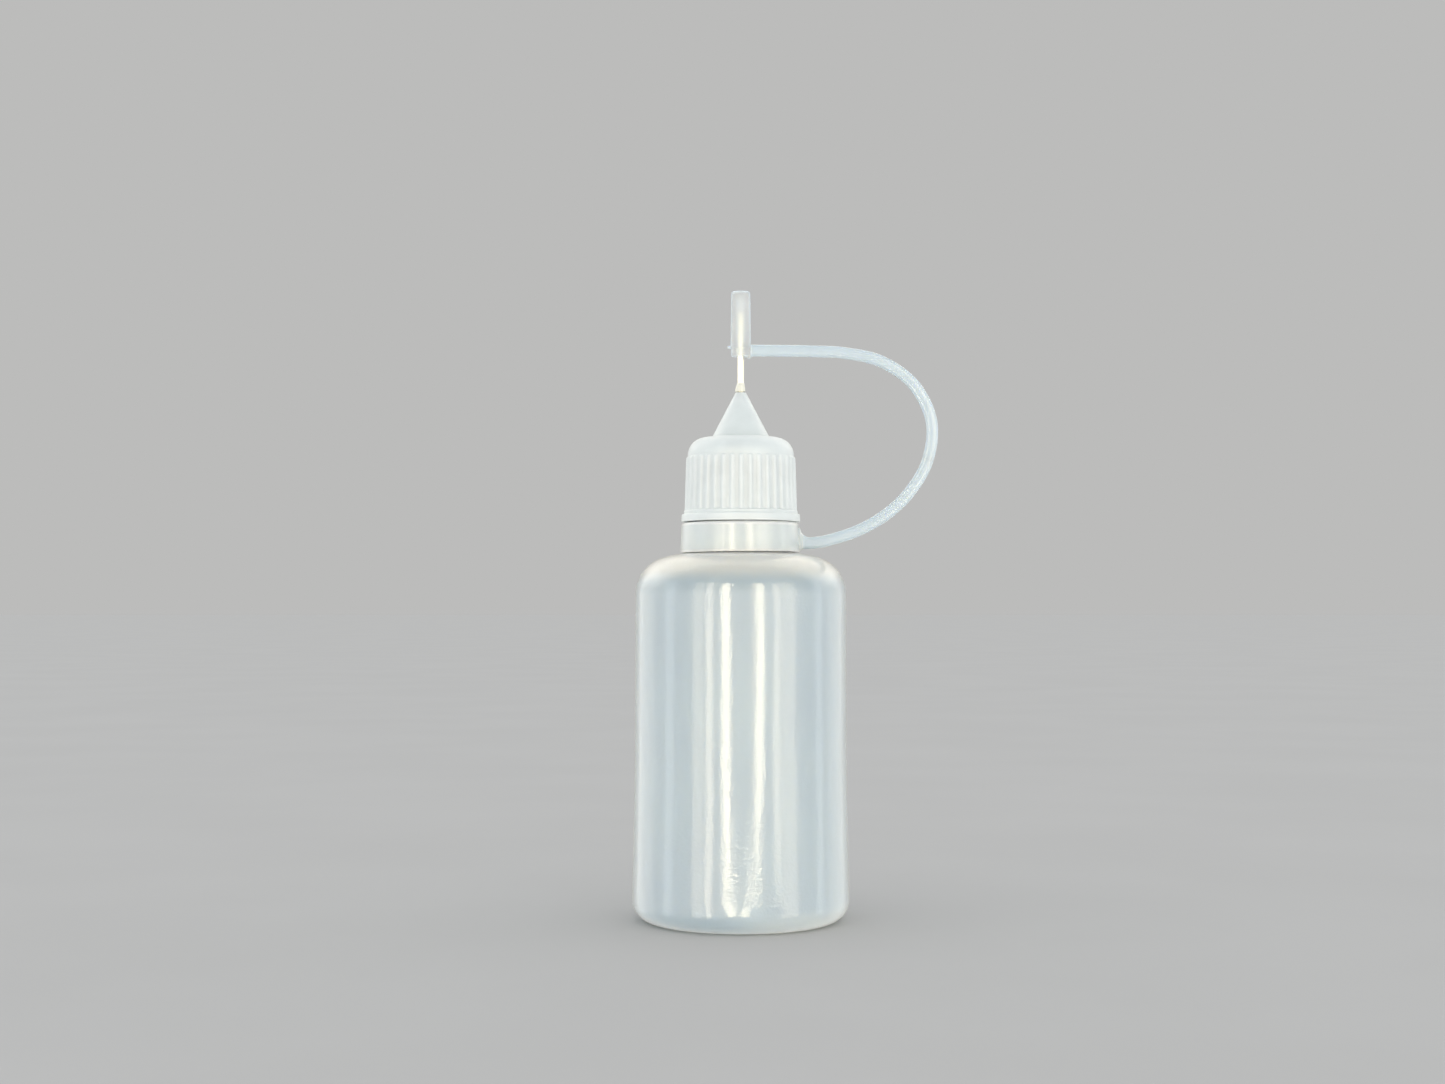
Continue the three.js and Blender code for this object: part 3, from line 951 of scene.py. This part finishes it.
def camera():
    """The camera stands in front, a little lower than the shoulder, and looks up a little."""
    data = bpy.data.cameras.new("camera")
    data.lens = CAMERA_LENS
    data.sensor_width = SENSOR_WIDTH
    data.clip_start = 0.01
    data.clip_end = 100
    made = bpy.data.objects.new("camera", data)
    made.location = Vector(CAMERA_PLACE) * MM
    made.rotation_euler = (math.radians(90 + CAMERA_TILT), 0, 0)
    bpy.context.scene.collection.objects.link(made)
    bpy.context.scene.camera = made


def floor():
    """A pale floor, which hides neither a card nor a light from the object, nor shows in its gloss."""
    corner = FLOOR_SIDE / 2
    made = new_object(
        "floor",
        [(-corner, -corner, 0), (corner, -corner, 0), (corner, corner, 0), (-corner, corner, 0)],
        [(0, 1, 2, 3)],
    )
    look = Look("floor", Roughness=0.9, Specular_IOR_Level=0.0)
    look.colour(look.spread(look.noise(60, detail=5), 0, 1), (199, 198, 196), (201, 200, 198))
    made.data.materials.append(look.finish())
    made.visible_glossy = False
    made.visible_shadow = False
    return made


def area_light(name, place, aim, width, height, radiance, colour, lean=0.0):
    """A rectangular light at a place, turned to face a point, and leant about the way that it faces."""
    data = bpy.data.lights.new(name, "AREA")
    data.shape = "RECTANGLE"
    data.size = width * MM
    data.size_y = height * MM
    data.energy = radiance * math.pi * data.size * data.size_y
    data.color = linear(colour)[:3]
    made = bpy.data.objects.new(name, data)
    made.location = Vector(place) * MM
    facing = (Vector(aim) - Vector(place)).to_track_quat("-Z", "Y").to_matrix().to_4x4()
    made.rotation_euler = (facing @ Matrix.Rotation(lean, 4, "Z")).to_euler()
    made.visible_camera = False
    bpy.context.scene.collection.objects.link(made)
    return made


def card(name, line, span, radiance, colour, seen_through=True):
    """A bright card that shows only in glossy faces, and through clear ones if it is seen through.

    It is as wide in degrees as span says and follows a line of (azimuth, height) points. Azimuth is in
    degrees, and 0 is behind the camera.
    """
    width = 2 * CARD_DISTANCE * math.tan(math.radians(span / 2))
    for part, (start, end) in enumerate(zip(line, line[1:])):
        turn = math.radians((start[0] + end[0]) / 2)
        middle = (start[1] + end[1]) / 2
        aside = math.radians(end[0] - start[0]) * CARD_DISTANCE
        lean = math.atan2(aside, start[1] - end[1])
        place = (math.sin(turn) * CARD_DISTANCE, -math.cos(turn) * CARD_DISTANCE, middle)
        length = math.hypot(aside, start[1] - end[1])
        across = width * math.cos(lean)
        made = area_light(f"{name}_{part}", place, (0, 0, middle), across, length, radiance, colour, lean)
        made.visible_diffuse = False
        made.visible_transmission = seen_through


def upright(azimuth, low=-160, high=CARD_TOP):
    """A card's line that goes straight down."""
    return [(azimuth, high), (azimuth, low)]


def lights(ground):
    """Tall cards, which show as bright strips, and four soft lights, which light all but the ground."""
    warm, cream, amber = (255, 240, 206), (255, 240, 212), (255, 220, 172)
    cool, plain = (238, 246, 252), (250, 250, 246)
    left_line = [(-16.3, CARD_TOP), (-16.1, -20), (-14.8, -32), (-10.8, -44), (-8, -90)]
    right_line = [(20, CARD_TOP), (19.6, -12), (17.8, -20), (13.4, -32), (7.4, -44), (1, -90)]
    card("bright_left", left_line, 9.5, 14, warm)
    card("bright_right", right_line, 8.5, 13, warm)
    card("bright_right_edge", upright(13.2, low=-14), 4, 3.5, amber)
    card("bright_foot", [(-1.5, -42), (-2.5, -62)], 14, 3.2, warm)
    card("left_near", upright(-33.5), 7.5, 8, cream, seen_through=False)
    card("left_far", upright(-46), 12, 3.4, cream, seen_through=False)
    card("left_edge", upright(-82), 12, 1.8, cool, seen_through=False)
    card("right_near", upright(37.5, low=-40), 7, 6.5, cream, seen_through=False)
    card("right_far", upright(51), 18, 3.4, cream, seen_through=False)
    card("right_edge", upright(91), 10, 1.6, cool, seen_through=False)
    card("back_left", upright(-124), 38, 0.75, plain, seen_through=False)
    card("back_right", upright(122), 34, 0.6, plain, seen_through=False)
    front = area_light("soft_front", (60, -600, -130), (0, 0, 50), 560, 420, FRONT_STRENGTH, plain)
    right = area_light("soft_right", (520, -260, 10), (0, 0, 40), 320, 420, SIDE_STRENGTH, plain)
    left = area_light("soft_left", (-560, -160, 10), (0, 0, 40), 320, 420, SIDE_STRENGTH, plain)
    back = area_light("soft_back", (0, 420, 420), (0, 0, 50), 500, 300, BACK_STRENGTH, plain)
    lit = bpy.data.collections.new("lit_by_soft_lights")
    lit.objects.link(ground)
    lit.collection_objects[0].light_linking.link_state = "EXCLUDE"
    for soft in (front, right, left, back):
        soft.visible_glossy = False
        soft.light_linking.receiver_collection = lit


def part_of_range(nodes, links, value, start, end, low, high):
    """A world value that goes smoothly from low to high as another goes from start to end."""
    node = nodes.new("ShaderNodeMapRange")
    node.interpolation_type = "SMOOTHSTEP"
    for socket, number in (("From Min", start), ("From Max", end), ("To Min", low), ("To Max", high)):
        node.inputs[socket].default_value = number
    links.new(value, node.inputs["Value"])
    return node.outputs["Result"]


def product(nodes, links, a, b):
    """Two world values multiplied."""
    node = nodes.new("ShaderNodeMath")
    node.operation = "MULTIPLY"
    links.new(a, node.inputs[0])
    links.new(b, node.inputs[1])
    return node.outputs["Value"]


def mirrored_level(nodes, links):
    """How bright glossy faces see each direction: dim above the front and behind, bright above the back."""
    direction = nodes.new("ShaderNodeSeparateXYZ")
    links.new(nodes.new("ShaderNodeTexCoord").outputs["Generated"], direction.inputs[0])
    high = part_of_range(nodes, links, direction.outputs["Z"], 0.16, 0.3, 0, 1)
    front = part_of_range(nodes, links, direction.outputs["Y"], -0.1, 0.1, 1, 0)
    raised = part_of_range(nodes, links, direction.outputs["Z"], 0.1, 0.45, 0, 1)
    behind = part_of_range(nodes, links, direction.outputs["Y"], 0, 0.3, 0, 1)
    dim = part_of_range(nodes, links, product(nodes, links, high, front), 0, 1, MIRRORED, MIRRORED_ABOVE)
    bright = part_of_range(nodes, links, product(nodes, links, raised, behind), 0, 1, 1, MIRRORED_BEHIND)
    rear = part_of_range(nodes, links, direction.outputs["Y"], 0.7, 0.95, 1, MIRRORED_REAR)
    return product(nodes, links, product(nodes, links, dim, bright), rear)


def world():
    """Even soft light, which the camera sees as a plain backdrop and glossy faces see mirrored."""
    made = bpy.data.worlds.new("world")
    bpy.context.scene.world = made
    made.use_nodes = True
    nodes, links = made.node_tree.nodes, made.node_tree.links
    mirrored = nodes.new("ShaderNodeBackground")
    mirrored.inputs["Color"].default_value = linear(MIRRORED_COLOUR)
    links.new(mirrored_level(nodes, links), mirrored.inputs["Strength"])
    even = nodes["Background"]
    even.inputs["Color"].default_value = linear(SKY)
    even.inputs["Strength"].default_value = SKY_STRENGTH
    seen = nodes.new("ShaderNodeBackground")
    seen.inputs["Color"].default_value = linear(BACKDROP)
    path = nodes.new("ShaderNodeLightPath")
    shader = even.outputs[0]
    for ray, other in (("Is Glossy Ray", mirrored), ("Is Camera Ray", seen)):
        pick = nodes.new("ShaderNodeMixShader")
        links.new(path.outputs[ray], pick.inputs[0])
        links.new(shader, pick.inputs[1])
        links.new(other.outputs[0], pick.inputs[2])
        shader = pick.outputs[0]
    links.new(shader, nodes["World Output"].inputs["Surface"])
    bpy.context.scene.view_settings.view_transform = "Standard"


# ---------------------------------------------------------------- the object

camera()
world()
lights(floor())

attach(dress(bottle_body(), milky_ldpe(), "milky_ldpe", "bottle_shell"), "bottle")
white_cap = dress(cap_body(), white_polyethylene(), "white_polyethylene", "nozzle_cap")
patch(white_cap, thin_tip(), lambda centre: centre.z > GHOST_BOTTOM * MM)
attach(white_cap, "cap")
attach(dress(needle(), stainless_steel(), "stainless_steel", "needle_tube"), "cap")
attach(dress(bond(), clear_adhesive(), "clear_adhesive", "needle_bond"), "cap")

soft = soft_ldpe()
lower_tether, upper_tether = tether_pieces()
dress(lower_tether, soft, "soft_ldpe", "tether_ring", "tether_strap_lower")
dress(upper_tether, soft, "soft_ldpe", "needle_cover", "tether_strap_upper")
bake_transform(lower_tether)
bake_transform(upper_tether)

ring_reach = (RING_RADIUS + RING_SKIN) * MM
patch(lower_tether, ring_ldpe(), lambda centre: math.hypot(centre.x, centre.y) < ring_reach)
patch(upper_tether, thin_ldpe(), lambda centre: abs(centre.x) < COVER_RADIUS * MM)
